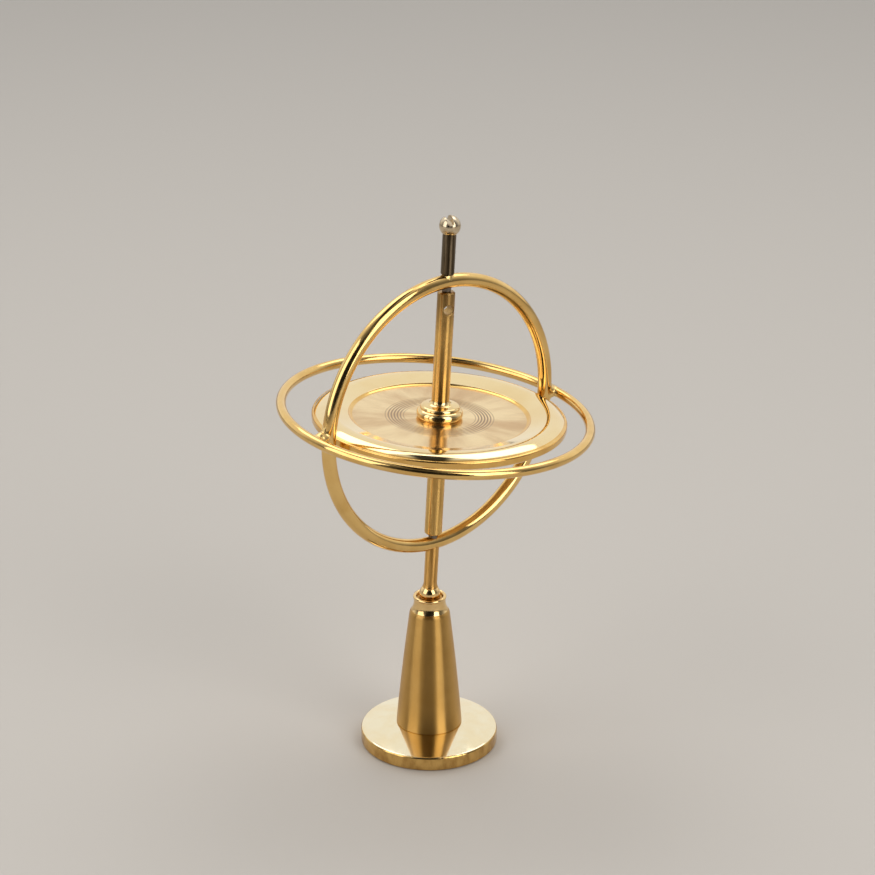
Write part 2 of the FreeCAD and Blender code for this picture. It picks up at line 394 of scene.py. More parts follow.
def grown(tree, place, **inputs):
    """The plain mesh that a tree makes, set in place. Its inputs are given by name."""
    thing = linked("growing", bpy.data.meshes.new("growing"))
    modifier = thing.modifiers.new("tree", "NODES")
    modifier.node_group = tree
    for item in tree.interface.items_tree:
        if item.in_out == "INPUT" and item.name in inputs:
            modifier[item.identifier] = inputs[item.name]
    result = plain_mesh(thing)
    result.transform(place)
    return result


# ---- braze, shaped by distance fields ----------------------------------------------------------

def blended(one, two, width):
    """Two distance fields joined with a fillet of about this width."""
    mix = np.clip(0.5 + 0.5 * (two - one) / width, 0, 1)
    return two * (1 - mix) + one * mix - width * mix * (1 - mix)


def ring_distance(points, centre, normal, radius, wire):
    """How far points are from the skin of a wire bent into a ring."""
    offset = points - np.array(centre)
    rise = offset @ np.array(normal)
    out = np.linalg.norm(offset - rise[:, None] * np.array(normal), axis=1)
    return np.hypot(out - radius, rise) - wire


def blob(name, centre, distance, reach, place, detail=5):
    """A closed skin round a centre where a distance field is zero, cut off at its reach."""
    work = bmesh.new()
    bmesh.ops.create_icosphere(work, subdivisions=detail, radius=1)
    rays = np.array([v.co for v in work.verts])
    near, far = np.zeros(len(rays)), np.full(len(rays), float(reach))
    far_inside = distance(np.array(centre) + rays * reach) < 0
    for _ in range(24):
        middle = (near + far) / 2
        inside = distance(np.array(centre) + rays * middle[:, None]) < 0
        near, far = np.where(inside, middle, near), np.where(inside, far, middle)
    length = np.where(far_inside, reach, near)
    for vertex, ray, size in zip(work.verts, rays, length):
        vertex.co = Vector(centre) + Vector(ray * size)
    mesh = mesh_of(work, name)
    mesh.transform(place)
    mesh.shade_smooth()
    return mesh


# ---- finishes -------------------------------------------------------------------------------------

class Finish:
    """A metal's node tree, built step by step on the piece's own coordinates in millimetres."""

    def __init__(self, name, colour, roughness, place=ON_STAND):
        self.material = bpy.data.materials.new(name)
        self.material.use_nodes = True
        self.tree = self.material.node_tree
        self.shader = self.tree.nodes["Principled BSDF"]
        self.shader.inputs["Metallic"].default_value = 1.0
        self.shader.inputs["Roughness"].default_value = roughness
        self.colour = self.rgb(colour)
        self.roughness = roughness
        self.normal = None
        where = self.node("ShaderNodeTexCoord").outputs["Object"]
        own = self.node("ShaderNodeMapping")
        back = place.inverted()
        own.inputs["Scale"].default_value = (1 / MM,) * 3
        own.inputs["Rotation"].default_value = back.to_3x3().normalized().to_euler()
        own.inputs["Location"].default_value = back.translation
        self.link(where, own.inputs["Vector"])
        self.place = own.outputs["Vector"]

    def node(self, kind, **settings):
        made = self.tree.nodes.new(kind)
        for key, value in settings.items():
            setattr(made, key, value)
        return made

    def link(self, output, socket):
        self.tree.links.new(output, socket)

    def rgb(self, colour):
        made = self.node("ShaderNodeRGB")
        made.outputs[0].default_value = (*colour, 1)
        return made.outputs[0]

    def noise(self, scale, detail=3.0, rough=0.55, vector=None):
        made = self.node("ShaderNodeTexNoise")
        made.inputs["Scale"].default_value = scale
        made.inputs["Detail"].default_value = detail
        made.inputs["Roughness"].default_value = rough
        self.link(vector or self.place, made.inputs["Vector"])
        return made.outputs["Fac"]

    def mapped(self, value, from_low, from_high, low, high):
        made = self.node("ShaderNodeMapRange", interpolation_type="SMOOTHSTEP")
        for socket, number in zip(list(made.inputs)[1:5], (from_low, from_high, low, high)):
            socket.default_value = number
        self.link(value, made.inputs["Value"])
        return made.outputs["Result"]

    def computed(self, operation, one, two):
        """The result of a Math node for two numbers, or outputs of other nodes."""
        made = self.node("ShaderNodeMath", operation=operation)
        for socket, value in zip(made.inputs, (one, two)):
            if isinstance(value, (int, float)):
                socket.default_value = value
            else:
                self.link(value, socket)
        return made.outputs[0]

    def stretched(self, scale):
        """The piece's coordinates scaled along each axis, for streaks."""
        made = self.node("ShaderNodeVectorMath", operation="MULTIPLY")
        made.inputs[1].default_value = scale
        self.link(self.place, made.inputs[0])
        return made.outputs[0]

    def lathe_place(self, fine, around):
        """Coordinates for marks that run round the axis: radius and height fine, angle coarse."""
        split = self.node("ShaderNodeSeparateXYZ")
        self.link(self.place, split.inputs[0])
        flat = self.node("ShaderNodeCombineXYZ")
        self.link(split.outputs[0], flat.inputs[0])
        self.link(split.outputs[1], flat.inputs[1])
        radius = self.node("ShaderNodeVectorMath", operation="LENGTH")
        self.link(flat.outputs[0], radius.inputs[0])
        direction = self.node("ShaderNodeVectorMath", operation="NORMALIZE")
        self.link(flat.outputs[0], direction.inputs[0])
        turn = self.node("ShaderNodeSeparateXYZ")
        self.link(direction.outputs[0], turn.inputs[0])
        spread = self.computed("MULTIPLY", radius.outputs["Value"], fine)
        rise = self.computed("MULTIPLY", split.outputs[2], fine)
        made = self.node("ShaderNodeCombineXYZ")
        self.link(self.computed("ADD", spread, rise), made.inputs[0])
        self.link(self.computed("MULTIPLY", turn.outputs[0], around), made.inputs[1])
        self.link(self.computed("MULTIPLY", turn.outputs[1], around), made.inputs[2])
        return made.outputs[0]

    def tarnish_and_sheen(self, tint, scale, low, high, vector=None):
        """Patches of a second colour: tarnish on most pieces, painted reflection on the web and on the
        disc's wall.
        """
        return self.tinted(tint, self.mapped(self.noise(scale, 4, vector=vector), 0.35, 0.7, low, high))

    def tinted(self, tint, share):
        """A second colour, mixed in by a share from 0 to 1."""
        mix = self.node("ShaderNodeMix", data_type="RGBA")
        self.link(share, mix.inputs["Factor"])
        self.link(self.colour, mix.inputs["A"])
        self.link(self.rgb(tint), mix.inputs["B"])
        self.colour = mix.outputs["Result"]
        self.link(self.colour, self.shader.inputs["Base Color"])
        return self

    def shaded_in_grooves(self, tint, bottom, top):
        """Painted shade: a second colour low down in grooves, on both faces of a wheel about Z."""
        rise = self.node("ShaderNodeSeparateXYZ")
        self.link(self.place, rise.inputs[0])
        height = self.computed("ABSOLUTE", rise.outputs[2], 0.0)
        return self.tinted(tint, self.mapped(height, bottom, top, 1.0, 0.0))

    def darkened_upwards(self, tint, low, high, most, wander=5.0):
        """A second colour that grows with height, uneven."""
        rise = self.node("ShaderNodeSeparateXYZ")
        self.link(self.place, rise.inputs[0])
        patchy = self.computed("MULTIPLY_ADD", self.noise(0.5, 4), wander)
        self.link(rise.outputs[2], patchy.node.inputs[2])
        return self.tinted(tint, self.mapped(patchy, low + wander / 2, high + wander / 2, 0.0, most))

    def smudged(self, scale, spread, vector=None):
        """Roughness that wanders about its base."""
        low, high = self.roughness - spread / 2, self.roughness + spread
        field = self.mapped(self.noise(scale, 5, 0.6, vector), 0.3, 0.75, max(low, 0.02), high)
        self.link(field, self.shader.inputs["Roughness"])
        return self

    def bumped(self, field, depth, strength=1.0):
        """A relief of a depth in millimetres, over any that is already there."""
        bump = self.node("ShaderNodeBump")
        bump.inputs["Strength"].default_value = strength
        bump.inputs["Distance"].default_value = depth * MM
        self.link(field, bump.inputs["Height"])
        if self.normal:
            self.link(self.normal, bump.inputs["Normal"])
        self.normal = bump.outputs["Normal"]
        self.link(self.normal, self.shader.inputs["Normal"])
        return self

    def turned_finely(self, amount):
        """Stretches the highlight along the outline, across marks that run round the piece."""
        tangent = self.node("ShaderNodeTangent", direction_type="UV_MAP", uv_map="Round")
        self.link(tangent.outputs[0], self.shader.inputs["Tangent"])
        self.shader.inputs["Anisotropic"].default_value = amount
        self.shader.inputs["Anisotropic Rotation"].default_value = 0.25
        return self


def mirror_disc():
    finish = Finish("pale_mirror_gold", (0.91, 0.80, 0.56), 0.07)
    finish.tarnish_and_sheen((0.86, 0.66, 0.34), 0.22, 0.0, 0.35).smudged(0.5, 0.05)
    return finish.bumped(finish.noise(3.0, 2), 0.002, 0.4).material


def rough_shaded_edge():
    # Painted shade and painted reflection: the side wall and underside of the one plated disc get a
    # deeper gold with dark mottles than its pale top. The rougher, streaky finish and its bumps are real.
    finish = Finish("turned_edge_painted_shade_gold", (0.77, 0.50, 0.17), 0.12)
    streaks = finish.stretched((0.7, 0.7, 0.35))
    finish.tarnish_and_sheen((0.40, 0.21, 0.055), 1.0, 0.0, 0.75, streaks).smudged(1.0, 0.12, streaks)
    finish.bumped(finish.noise(1.0, 2, 0.45, streaks), 0.12, 0.6)
    return finish.bumped(finish.noise(5.0, 3), 0.004, 0.5).material


def satin_cone():
    finish = Finish("satin_turned_gold", (0.58, 0.34, 0.10), 0.34)
    marks = finish.lathe_place(9.0, 0.6)
    finish.tarnish_and_sheen((0.50, 0.28, 0.075), 0.16, 0.0, 0.6).smudged(0.5, 0.04, marks)
    finish.bumped(finish.noise(1.0, 3, 0.6, marks), 0.002, 0.35)
    return finish.turned_finely(1.0).material


def bright_cup():
    finish = Finish("bright_cup_gold", (0.86, 0.60, 0.27), 0.1)
    finish.tarnish_and_sheen((0.74, 0.48, 0.20), 0.8, 0.0, 0.5).smudged(1.2, 0.08)
    return finish.bumped(finish.noise(2.5, 3), 0.01, 0.5).material


def wire_gold():
    finish = Finish("polished_wire_gold", (0.86, 0.575, 0.215), 0.1, IN_CAGE)
    finish.tarnish_and_sheen((0.66, 0.38, 0.10), 0.12, 0.0, 0.6).smudged(0.35, 0.09)
    finish.bumped(finish.noise(0.5, 2), 0.02, 0.5)
    return finish.bumped(finish.noise(4.0, 3), 0.003, 0.5).material


def braze_gold():
    finish = Finish("plated_braze_gold", (0.86, 0.60, 0.24), 0.27, IN_CAGE)
    finish.tarnish_and_sheen((0.70, 0.45, 0.16), 0.9, 0.0, 0.7).smudged(1.6, 0.1)
    return finish.bumped(finish.noise(1.1, 2), 0.03, 0.5).material


def dark_bronze():
    finish = Finish("dark_polished_bronze", (0.19, 0.14, 0.085), 0.28, IN_CAGE)
    streaks = finish.stretched((2.2, 2.2, 0.12))
    finish.tarnish_and_sheen((0.04, 0.028, 0.014), 0.8, 0.2, 1.0, streaks)
    finish.smudged(1.0, 0.06, streaks)
    finish.bumped(finish.noise(1.0, 3, 0.55, streaks), 0.008, 0.5)
    return finish.turned_finely(1.0).material


def stem_gold():
    finish = Finish("polished_stem_gold", (0.76, 0.43, 0.125), 0.3, IN_CAGE)
    streaks = finish.stretched((2.4, 2.4, 0.15))
    finish.tarnish_and_sheen((0.50, 0.26, 0.065), 1.0, 0.0, 0.8, streaks)
    finish.smudged(1.0, 0.06, streaks)
    finish.bumped(finish.noise(1.0, 3, 0.55, streaks), 0.006, 0.5)
    return finish.turned_finely(1.0).material


def spindle_gold():
    finish = Finish("turned_spindle_gold", (0.80, 0.50, 0.16), 0.27, IN_CAGE)
    streaks = finish.stretched((2.0, 2.0, 0.12))
    finish.tarnish_and_sheen((0.56, 0.32, 0.09), 1.0, 0.0, 0.7, streaks).smudged(1.0, 0.05, streaks)
    # Darker towards the top.
    finish.darkened_upwards((0.22, 0.13, 0.05), 15.0, 24.5, 0.75)
    finish.bumped(finish.noise(1.0, 3, 0.55, streaks), 0.004, 0.5)
    return finish.turned_finely(1.0).material


def champagne():
    finish = Finish("pale_champagne", (0.68, 0.56, 0.39), 0.12, IN_CAGE)
    finish.tarnish_and_sheen((0.42, 0.31, 0.17), 0.9, 0.0, 0.7).smudged(1.5, 0.14)
    return finish.bumped(finish.noise(2.5, 4), 0.03, 0.6).material


def rim_gold():
    finish = Finish("polished_rim_gold", (0.90, 0.71, 0.39), 0.05, IN_ROTOR)
    marks = finish.lathe_place(5.0, 0.7)
    finish.tarnish_and_sheen((0.82, 0.58, 0.25), 0.09, 0.0, 0.5).smudged(0.7, 0.04, marks)
    return finish.bumped(finish.noise(1.0, 2, 0.5, marks), 0.002, 0.5).material


def shaded_rim_wall_gold():
    # Painted shade: the recess slope and the outer wall of the one plated wheel get a deeper gold than
    # its top faces.
    finish = Finish("painted_shade_rim_wall_gold", (0.84, 0.53, 0.17), 0.12, IN_ROTOR)
    marks = finish.lathe_place(6.0, 0.7)
    finish.tarnish_and_sheen((0.66, 0.36, 0.09), 0.2, 0.0, 0.6).smudged(0.7, 0.08, marks)
    return finish.bumped(finish.noise(1.0, 2, 0.5, marks), 0.003, 0.5).material


def web_gold():
    finish = Finish("turned_web_painted_light_gold", (0.91, 0.69, 0.37), 0.17, IN_ROTOR)
    marks = finish.lathe_place(8.0, 0.8)
    # Painted reflection: pale and brown wedges on the web, which change with the angle round the wheel.
    finish.tarnish_and_sheen((0.60, 0.36, 0.15), 1.0, 0.0, 0.85, finish.lathe_place(0.05, 1.9))
    # Painted shade in the bottoms of the turned grooves.
    finish.shaded_in_grooves((0.34, 0.20, 0.09), WEB_HALF - 0.8 * GROOVE_DEPTH, WEB_HALF - 0.1 * GROOVE_DEPTH)
    finish.smudged(0.9, 0.06, marks)
    finish.bumped(finish.noise(1.0, 3, 0.6, marks), 0.003, 0.5)
    return finish.turned_finely(0.5).material


def hub_gold():
    finish = Finish("turned_hub_gold", (0.88, 0.66, 0.32), 0.1, IN_ROTOR)
    marks = finish.lathe_place(6.0, 0.6)
    finish.tarnish_and_sheen((0.72, 0.47, 0.19), 0.5, 0.0, 0.5).smudged(0.8, 0.08, marks)
    return finish.bumped(finish.noise(1.0, 3, 0.6, marks), 0.003, 0.5).material


def ground_steel():
    finish = Finish("ground_steel", (0.19, 0.16, 0.13), 0.3, IN_CAGE)
    marks = finish.lathe_place(10.0, 0.5)
    finish.tarnish_and_sheen((0.13, 0.10, 0.075), 1.2, 0.0, 0.6).smudged(1.0, 0.12, marks)
    return finish.bumped(finish.noise(1.0, 3, 0.6, marks), 0.005, 0.5).material


# ---- the stand --------------------------------------------------------------------------------------

def make_disc():
    corner = (BASE_RADIUS - BASE_EDGE_ROUND, BASE_EDGE_HEIGHT - BASE_EDGE_ROUND)
    points = outline(
        (0, 0),
        (BASE_RADIUS - BASE_FOOT_CHAMFER, 0),
        (BASE_RADIUS, BASE_FOOT_CHAMFER),
        (BASE_RADIUS, corner[1]),
        (on_circle(corner, BASE_EDGE_ROUND, 40), on_circle(corner, BASE_EDGE_ROUND, 75)),
        (DOME_MIDDLE, (CONE_FOOT_RADIUS, DOME_TOP)),
        (0, DOME_TOP),
        fineness=20,
    )
    mesh = turned("polished_disc", softened(points), ON_STAND, sides=256)
    piece("polished_disc", mesh, "pedestal", "mirror_gold", [mirror_disc(), rough_shaded_edge()], "base_disc")
    # The side wall and the underside take the deeper, mottled gold, a painted shade.
    for face in mesh.polygons:
        middle = face.center / MM
        on_wall = math.hypot(middle.x, middle.y) > BASE_WALL_FROM and middle.z < BASE_WALL_TOP
        face.material_index = 1 if on_wall or middle.z < BASE_UNDERSIDE else 0


def make_cone():
    points = outline(
        (0, DOME_TOP),
        (CONE_FOOT_RADIUS - CONE_FOOT_CHAMFER, DOME_TOP),
        (CONE_FOOT_RADIUS, DOME_TOP + CONE_FOOT_CHAMFER),
        (CONE_MIDDLE, CONE_NECK),
        (CONE_SHOULDER, CONE_TOP),
        (0, CONE_TOP[1]),
        fineness=18,
    )
    mesh = turned("satin_cone", softened(points), ON_STAND)
    piece("satin_cone", mesh, "pedestal", "satin_gold", [satin_cone()], "pedestal_cone")


def make_cup():
    points = outline(
        (0, SPIGOT_LOW),
        (SPIGOT_RADIUS, SPIGOT_LOW),
        (SPIGOT_RADIUS, CONE_TOP[1]),
        CONE_TOP,
        (COLLAR_FLARE, (COLLAR_RADIUS, COLLAR_WAIST)),
        (COLLAR_RADIUS, LIP_CENTRE[1] - 0.3),
        on_circle(LIP_CENTRE, LIP_WIRE, -35),
        (on_circle(LIP_CENTRE, LIP_WIRE, 75), on_circle(LIP_CENTRE, LIP_WIRE, 180)),
        (CUP_BORE, CUP_FLOOR),
        (0, CUP_FLOOR),
    )
    mesh = turned("bright_cup", softened(points), ON_STAND)
    piece("bright_cup", mesh, "pedestal", "mirror_gold", [bright_cup()], "cup_collar")


def make_dish():
    low = CUP_FLOOR + SEAT_FIT
    bottom = ball_centre.z / MM - BALL_RADIUS - BALL_GAP
    centre = (0, bottom + SEAT_SPHERE)
    rim = math.sqrt(SEAT_SPHERE ** 2 - (centre[1] - SEAT_RIM) ** 2)
    half_way = -90 + 0.5 * math.degrees(math.asin(rim / SEAT_SPHERE))
    points = outline(
        (0, low),
        (CUP_BORE - SEAT_FIT, low),
        (CUP_BORE - SEAT_FIT, SEAT_RIM),
        (rim, SEAT_RIM),
        (on_circle(centre, SEAT_SPHERE, half_way), (0, bottom)),
    )
    mesh = turned("cup_dish", softened(points, 0.05), ON_STAND, sides=128)
    piece("cup_dish", mesh, "seat", "satin_gold", [satin_cone()], "cup_seat")


# ---- the cage ---------------------------------------------------------------------------------------

def make_foot_ball():
    points = outline((0, -BALL_RADIUS), ((BALL_RADIUS, 0), (0, BALL_RADIUS)), fineness=64)
    mesh = turned("foot_ball", points, ON_BALL, sides=128)
    piece("foot_ball", mesh, "foot", "ring_gold", [bright_cup()], "ball_foot")


def make_lower_stem():
    root = CAGE_RISE - HOOP_RADIUS - LOWER_STEM_END
    gap = BALL_RADIUS + BALL_GAP
    meet = math.sqrt(gap ** 2 - STEM_FOOT_RADIUS ** 2)
    dome_side = math.degrees(math.atan2(meet, STEM_FOOT_RADIUS))
    points = outline(
        (0, gap),
        (on_circle((0, 0), gap, (90 + dome_side) / 2), (STEM_FOOT_RADIUS, meet)),
        (STEM_FLARE, (STEM_RADIUS, STEM_FLARE_TOP)),
        (STEM_RADIUS, root),
        (0, root),
    )
    mesh = turned("lower_stem", softened(points, 0.06), ON_BALL, sides=128)
    piece("lower_stem", mesh, "cage", "post_bronze", [stem_gold()], "lower_post")


def level_place():
    x, y = LEVEL_SHIFT
    shift = Matrix.Translation((x, y, 0))
    return IN_CAGE @ shift @ Matrix.Rotation(LEVEL_PITCH, 4, "Y") @ Matrix.Rotation(LEVEL_ROLL, 4, "X")


def make_hoops():
    tree, metal = hoop_tree(), wire_gold()
    upright_place = IN_CAGE @ Matrix.Rotation(math.radians(90), 4, "X")
    hoops = (
        ("upright_hoop", upright_place, HOOP_RADIUS, HOOP_WIRE, 64, "meridian_ring"),
        ("level_hoop", level_place(), LEVEL_RADIUS, LEVEL_WIRE, 56, "equator_ring"),
    )
    for name, place, radius, wire, sides, node in hoops:
        mesh = grown(tree, place, Radius=radius, Wire=wire, Steps=HOOP_STEPS, Sides=sides, Metal=metal)
        piece(name, mesh, "cage", "ring_gold", [], node)


def make_hoop_braze():
    """Braze that fills the crossing of the two wires, at both ends of the X axis."""
    turn = (IN_CAGE.inverted() @ level_place()).to_3x3().normalized()
    level_normal = turn @ Vector((0, 0, 1))
    upright_wire, level_wire = HOOP_WIRE - BRAZE_SKIN, LEVEL_WIRE - BRAZE_SKIN
    blobs = []
    for side in (-1, 1):
        wire_x = side * LEVEL_RADIUS + LEVEL_SHIFT[0]
        centre = ((side * HOOP_RADIUS + wire_x) / 2, 0.0, -wire_x * math.sin(LEVEL_PITCH))

        def joint(points):
            upright = ring_distance(points, (0, 0, 0), (0, 1, 0), HOOP_RADIUS, upright_wire)
            level = ring_distance(points, (*LEVEL_SHIFT, 0), level_normal, LEVEL_RADIUS, level_wire)
            drop = np.linalg.norm(points - np.array(centre), axis=1) - CROSSING_DROP
            return blended(blended(upright, level, CROSSING_FILLET), drop, CROSSING_DROP_FILLET)

        blobs.append(blob("hoop_braze", centre, joint, CROSSING_REACH, IN_CAGE))
    piece("hoop_braze", joined(blobs), "cage", "braze", [braze_gold()], "ring_braze_joints")


def make_stem_braze():
    """Fillets of braze where the two stems meet the upright hoop."""
    blobs = []
    for side in (-1, 1):
        centre = (0.0, 0.0, side * (HOOP_RADIUS + HOOP_WIRE * 0.8))

        def root(points):
            upright = ring_distance(points, (0, 0, 0), (0, 1, 0), HOOP_RADIUS, HOOP_WIRE - BRAZE_SKIN)
            stem = np.hypot(points[:, 0], points[:, 1]) - STEM_BRAZE_RADIUS
            stem = np.maximum(stem, HOOP_RADIUS - side * points[:, 2])
            stem = np.maximum(stem, side * points[:, 2] - STEM_BRAZE_TOP)
            return blended(upright, stem, STEM_BRAZE_FILLET)

        blobs.append(blob("stem_braze", centre, root, STEM_BRAZE_REACH, IN_CAGE))
    piece("stem_braze", joined(blobs), "cage", "braze", [braze_gold()], "post_braze_fillets")


def make_upper_stem():
    root = HOOP_RADIUS + UPPER_STEM_END
    socket = KNOB_RISE - math.sqrt(KNOB_RADIUS ** 2 - STEM_RADIUS ** 2)
    points = outline(
        (0, root),
        (STEM_NECK_RADIUS, root),
        (STEM_NECK_RADIUS, STEM_NECK_TOP),
        (STEM_CUP, (STEM_RADIUS, STEM_CUP_TOP)),
        (STEM_RADIUS, socket),
        (0, socket),
    )
    mesh = turned("upper_stem", softened(points, 0.06), IN_CAGE, sides=128)
    piece("upper_stem", mesh, "cage", "post_bronze", [dark_bronze()], "upper_post")


def slot_cutter():
    """A bar with a round bottom, as wide as the knob's slot, where the slot is."""
    half = SLOT_WIDTH / 2
    middle = KNOB_RADIUS - SLOT_DEPTH + half
    section = [(half, SLOT_CUTTER_HALF), (-half, SLOT_CUTTER_HALF)]
    section += [(-half * math.cos(a), middle - half * math.sin(a)) for a in np.linspace(0, math.pi, 17)]
    work = bmesh.new()
    ends = (-SLOT_CUTTER_HALF, SLOT_CUTTER_HALF)
    rings = [[work.verts.new((x, y, z)) for x, z in section] for y in ends]
    work.faces.new(rings[0])
    work.faces.new(rings[1][::-1])
    for k in range(len(section)):
        n = (k + 1) % len(section)
        work.faces.new((rings[0][n], rings[0][k], rings[1][k], rings[1][n]))
    bmesh.ops.recalc_face_normals(work, faces=work.faces)
    mesh = mesh_of(work, "slot_cutter")
    mesh.transform(Matrix.Rotation(SLOT_TURN, 4, "Z") @ Matrix.Translation((SLOT_SHIFT, 0, 0)))
    return linked("slot_cutter", mesh)


def make_knob():
    """A ball with a round-bottomed slot across it, worn soft at its edges."""
    work = bmesh.new()
    bmesh.ops.create_uvsphere(work, u_segments=128, v_segments=96, radius=KNOB_RADIUS)
    blank = linked("knob_blank", mesh_of(work, "knob_blank"))
    cutter = slot_cutter()
    cut = blank.modifiers.new("slot", "BOOLEAN")
    cut.operation = "DIFFERENCE"
    cut.solver = "EXACT"
    cut.object = cutter
    slotted = plain_mesh(blank)
    bpy.data.objects.remove(cutter)
    mesh = remeshed(slotted, KNOB_GRID, KNOB_WEAR)
    mesh.name = "slotted_knob"
    mesh.transform(IN_CAGE @ Matrix.Translation((0, 0, KNOB_RISE)))
    piece("slotted_knob", mesh, "cage", "champagne", [champagne()], "top_knob")


def make_pivots():
    metal = ground_steel()
    shoulder = SPINDLE_HALF + PIVOT_STAND_OFF
    points = outline(
        (0, shoulder - PIVOT_DEPTH),
        (PIVOT_POINT, shoulder - PIVOT_DEPTH),
        (PIVOT_RADIUS, shoulder),
        (PIVOT_RADIUS, SPINDLE_HALF + PIVOT_LENGTH),
        (0, SPINDLE_HALF + PIVOT_LENGTH),
    )
    for which, turn in BOTH_ENDS.items():
        mesh = turned(which + "_pivot", softened(points, 0.04), IN_CAGE @ turn, sides=96)
        piece(which + "_pivot", mesh, "cage", "dark_steel", [metal], which + "_pivot_screw")


# ---- the rotor ----------------------------------------------------------------------------------------

def web_points():
    """The web's face from the hub outwards, with a band of turned grooves."""
    points = [(SPINDLE_RADIUS, WEB_HALF), (GROOVES_FROM, WEB_HALF)]
    fineness = 6
    count = round((GROOVES_TO - GROOVES_FROM) / GROOVE_PITCH) * fineness
    for k in range(1, count + 1):
        share = k / count
        swell = math.sin(math.pi * share)
        wave = 0.5 - 0.5 * math.cos(2 * math.pi * k / fineness)
        radius = GROOVES_FROM + (GROOVES_TO - GROOVES_FROM) * share
        points.append((radius, WEB_HALF - GROOVE_DEPTH * swell * wave))
    return points


def make_flywheel():
    rim = outline(
        (RECESS_FOOT, WEB_HALF),
        (RECESS_BEND, RECESS_EDGE),
        ROLL_FROM,
        (ROLL_MIDDLE, LEDGE),
        (LEDGE_CORNER, (RIM_RADIUS, WALL_HALF)),
        fineness=12,
    )
    top = softened(web_points() + rim + [(RIM_RADIUS, 0)], 0.1)
    bottom = [(radius, -height) for radius, height in top]
    points = bottom[:-1] + top[::-1]
    mesh = turned("flywheel_disc", points, IN_ROTOR, sides=256, closed=True)
    metals = [rim_gold(), web_gold(), shaded_rim_wall_gold()]
    piece("flywheel_disc", mesh, "rotor", "mirror_gold", metals, "flywheel")
    to_rotor = IN_ROTOR.inverted()
    for face in mesh.polygons:
        middle = to_rotor @ face.center
        radius = math.hypot(middle.x, middle.y)
        # The recess slope and the outer wall take the deeper gold, a painted shade.
        on_wall = SLOPE_FROM < radius < SLOPE_TO or radius > WALL_FROM
        face.material_index = 2 if on_wall else 1 if radius < RECESS_EDGE[0] else 0


def make_hubs():
    metal = hub_gold()
    points = outline(
        (SPINDLE_RADIUS, WEB_HALF),
        (HUB_FOOT_RADIUS, WEB_HALF),
        (HUB_BULGE, HUB_STEP),
        (HUB_CROWN_MIDDLE, HUB_CROWN),
        HUB_TOP,
        (HUB_FILLET_MIDDLE, (SPINDLE_RADIUS, HUB_FILLET_TOP)),
    )
    for which, turn in BOTH_ENDS.items():
        mesh = turned(which + "_hub", softened(points, 0.15), IN_ROTOR @ turn, closed=True)
        piece(which + "_hub", mesh, "rotor", "mirror_gold", [metal], which + "_hub_collar")


def patch_frame():
    """Points round a patch of half the spindle's skin: across it as a share of half a turn, and up it."""
    corners = [(0.5, -1), (0.5, 1), (-0.5, 1), (-0.5, -1)]
    upright, level = SPINDLE_SIDES // 6, SPINDLE_SIDES // 2
    points = []
    for corner, following, count in zip(corners, corners[1:] + corners[:1], (upright, level) * 2):
        for k in range(count):
            share = k / count
            points.append(tuple(a + (b - a) * share for a, b in zip(corner, following)))
    return points


def hole_patch(work, turn):
    """Half of the drilled skin, round one mouth of the string hole. Gives the mouth's inner edge."""
    frame_points = patch_frame()
    rings = []
    for step in range(-1, PATCH_STEPS + 1):
        share = max(step, 0) / PATCH_STEPS
        radius = SPINDLE_RADIUS if step >= 0 else SPINDLE_RADIUS - STRING_HOLE_BEVEL
        mouth = STRING_HOLE_RADIUS + STRING_HOLE_BEVEL if step >= 0 else STRING_HOLE_RADIUS
        ring = []
        for across, up in frame_points:
            angle = math.atan2(up, across * 2)
            mouth_turn = math.asin(mouth * math.cos(angle) / radius)
            theta = turn + mouth_turn * (1 - share) + across * math.pi * share
            rise = STRING_HOLE_RISE + mouth * math.sin(angle) * (1 - share) + up * DRILLED_HALF * share
            ring.append(work.verts.new((radius * math.cos(theta), radius * math.sin(theta), rise)))
        rings.append(ring)
    for inner, outer in zip(rings, rings[1:]):
        for k in range(len(inner)):
            n = (k + 1) % len(inner)
            work.faces.new((inner[k], outer[k], outer[n], inner[n]))
    return rings[0]


def hole_gap(vertex, corner):
    """How far two mouth corners are apart, seen along the string hole."""
    side = Vector((-math.sin(STRING_HOLE_TURN), math.cos(STRING_HOLE_TURN), 0))
    offset = vertex.co - corner.co
    return abs(offset.dot(side)) + abs(offset.z)


def unrolled(mesh):
    """Fills the UV map of a mesh about Z: round the piece, and up it."""
    spots = mesh.uv_layers["Round"].data
    for face in mesh.polygons:
        middle = math.atan2(face.center.y, face.center.x)
        for k in face.loop_indices:
            corner = mesh.vertices[mesh.loops[k].vertex_index].co
            turn = math.atan2(corner.y, corner.x) - middle
            turn = (turn + math.pi) % (2 * math.pi) - math.pi
            spots[k].uv = ((middle + turn) / (2 * math.pi), corner.z)


